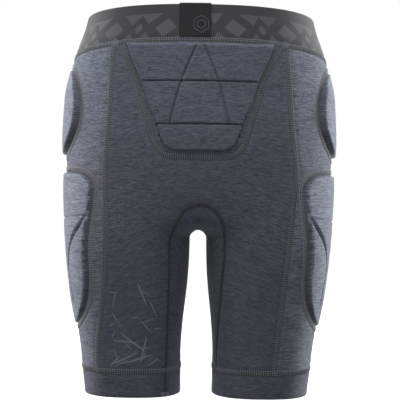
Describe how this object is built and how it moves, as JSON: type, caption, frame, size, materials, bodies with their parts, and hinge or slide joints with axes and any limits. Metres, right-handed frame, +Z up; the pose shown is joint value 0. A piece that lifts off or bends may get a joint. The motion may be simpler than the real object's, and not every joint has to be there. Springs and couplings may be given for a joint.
{
  "type": "padded impact shorts",
  "caption": "Close-fitting shorts with sewn-in impact pads over the hips, outer thighs and tailbone, on a wide elastic waistband.",
  "frame": {"origin": "centre of the footprint, on the plane of the two leg hems", "axes": "+Z up the body, +Y the way the wearer faces, +X to the wearer's right"},
  "size_m": [0.3262, 0.2191, 0.4451],
  "materials": {
    "heather_fabric": "charcoal heather knit with fine light streaks, matte",
    "side_fabric": "charcoal heather knit with fine light streaks, matte with a soft sheen",
    "elastic_band": "woven elastic with a repeated tone-on-tone block pattern",
    "label_cloth": "dense black woven tape",
    "seam_thread": "grey-brown flatlock thread, slightly glossy",
    "pad_foam": "soft closed-cell impact foam, matte",
    "pocket_mesh": "fine warp-knit mesh"
  },
  "bodies": {
    "root": {"back_panel": "heather_fabric", "left_front_panel": "heather_fabric", "right_front_panel": "heather_fabric", "gusset": "heather_fabric", "left_cuff": "heather_fabric", "right_cuff": "heather_fabric", "tailbone_pad_cover": "heather_fabric", "left_side_panel": "side_fabric", "right_side_panel": "side_fabric", "left_hip_pad_cover": "side_fabric", "right_hip_pad_cover": "side_fabric", "left_thigh_pad_cover": "side_fabric", "right_thigh_pad_cover": "side_fabric", "waistband": "elastic_band", "waist_label": "label_cloth", "left_side_back_seam": "seam_thread", "right_side_back_seam": "seam_thread", "left_side_front_seam": "seam_thread", "right_side_front_seam": "seam_thread", "tailbone_seam": "seam_thread", "gusset_back_seam": "seam_thread", "gusset_front_seam": "seam_thread", "centre_front_seam": "seam_thread", "left_hip_pad_seam": "seam_thread", "left_thigh_pad_seam": "seam_thread", "right_hip_pad_seam": "seam_thread", "right_thigh_pad_seam": "seam_thread", "waist_seam": "seam_thread", "left_cuff_seam": "seam_thread", "right_cuff_seam": "seam_thread", "left_hip_pad_foam": "pad_foam", "right_hip_pad_foam": "pad_foam", "left_thigh_pad_foam": "pad_foam", "right_thigh_pad_foam": "pad_foam", "tailbone_pad_foam": "pad_foam", "left_hip_pad_lining": "pocket_mesh", "right_hip_pad_lining": "pocket_mesh", "left_thigh_pad_lining": "pocket_mesh", "right_thigh_pad_lining": "pocket_mesh", "tailbone_pad_lining": "pocket_mesh"}
  },
  "joints": []
}
